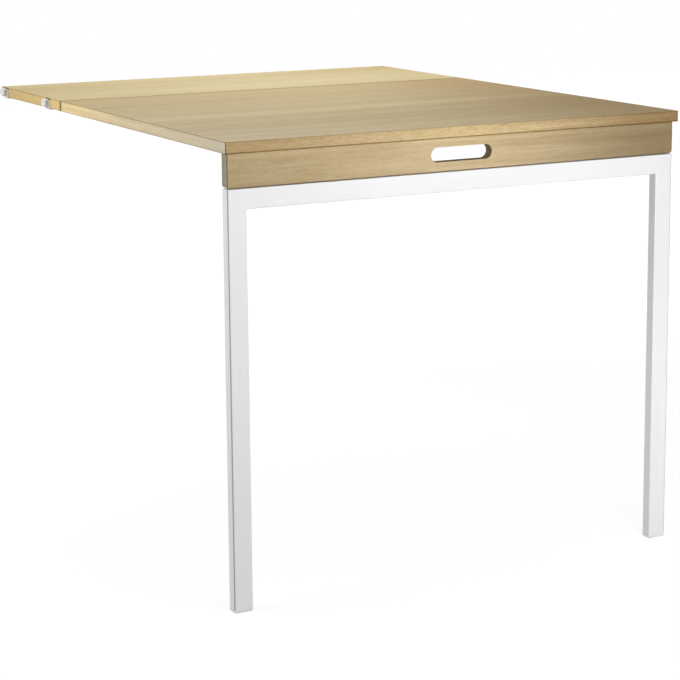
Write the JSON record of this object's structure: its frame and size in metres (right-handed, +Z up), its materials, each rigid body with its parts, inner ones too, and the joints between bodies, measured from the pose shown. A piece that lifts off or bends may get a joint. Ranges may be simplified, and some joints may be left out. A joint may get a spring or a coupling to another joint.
{
  "type": "wall mounted drop leaf table",
  "caption": "Drop-leaf table that hangs on wall rungs: a narrow fixed shelf with hooks, a wide hinged leaf with a hand slot in its apron, and a folding leg frame of flat tube.",
  "frame": {"origin": "middle of the shelf's wall side, at the height of the two rungs that carry the hooks", "axes": "+X along the wall to the right as seen from the front, +Y to the wall, +Z up"},
  "size_m": [0.7988, 0.9604, 0.695],
  "materials": {
    "oak_veneer": "matt lacquered oak veneer",
    "oak_edge": "matt lacquered oak",
    "white_steel": "satin white powder coat",
    "zinc_steel": "bright zinc",
    "white_plastic": "matt white"
  },
  "bodies": {
    "shelf": {"shelf_core": "oak_veneer", "shelf_front_band": "oak_edge", "shelf_back_band": "oak_edge", "shelf_left_band": "oak_edge", "shelf_right_band": "oak_edge", "hook_left_front": "white_steel", "hook_left_back": "white_steel", "hook_right_front": "white_steel", "hook_right_back": "white_steel", "hook_screws": "zinc_steel", "seam_hinge_left_shelf_plate": "zinc_steel", "seam_hinge_middle_shelf_plate": "zinc_steel", "seam_hinge_right_shelf_plate": "zinc_steel", "seam_hinge_pins": "zinc_steel", "shelf_hinge_screws": "zinc_steel"},
    "leaf": {"leaf_core": "oak_veneer", "leaf_front_band": "oak_edge", "leaf_back_band": "oak_edge", "leaf_left_band": "oak_edge", "leaf_right_band": "oak_edge", "seam_hinge_left_leaf_plate": "zinc_steel", "seam_hinge_middle_leaf_plate": "zinc_steel", "seam_hinge_right_leaf_plate": "zinc_steel", "leaf_hinge_screws": "zinc_steel", "apron": "oak_edge", "apron_tenons": "oak_edge", "leg_hinge_left_apron_plate": "zinc_steel", "leg_hinge_right_apron_plate": "zinc_steel", "leg_hinge_pins": "zinc_steel", "apron_hinge_screws": "zinc_steel"},
    "legs": {"frame_rail": "white_steel", "left_leg": "white_steel", "right_leg": "white_steel", "left_foot": "white_plastic", "right_foot": "white_plastic", "leg_hinge_left_rail_plate": "zinc_steel", "leg_hinge_right_rail_plate": "zinc_steel", "rail_hinge_screws": "zinc_steel"}
  },
  "joints": [
    {"name": "leaf_fold", "type": "hinge", "parent": "shelf", "child": "leaf", "pos_m": [0, -0.3002, -0.0151], "axis": [1, 0, 0], "range_deg": [0, 90]},
    {"name": "leg_fold", "type": "hinge", "parent": "leaf", "child": "legs", "pos_m": [0, -0.9311, -0.06205], "axis": [1, 0, 0], "range_deg": [0, 94.9]}
  ]
}
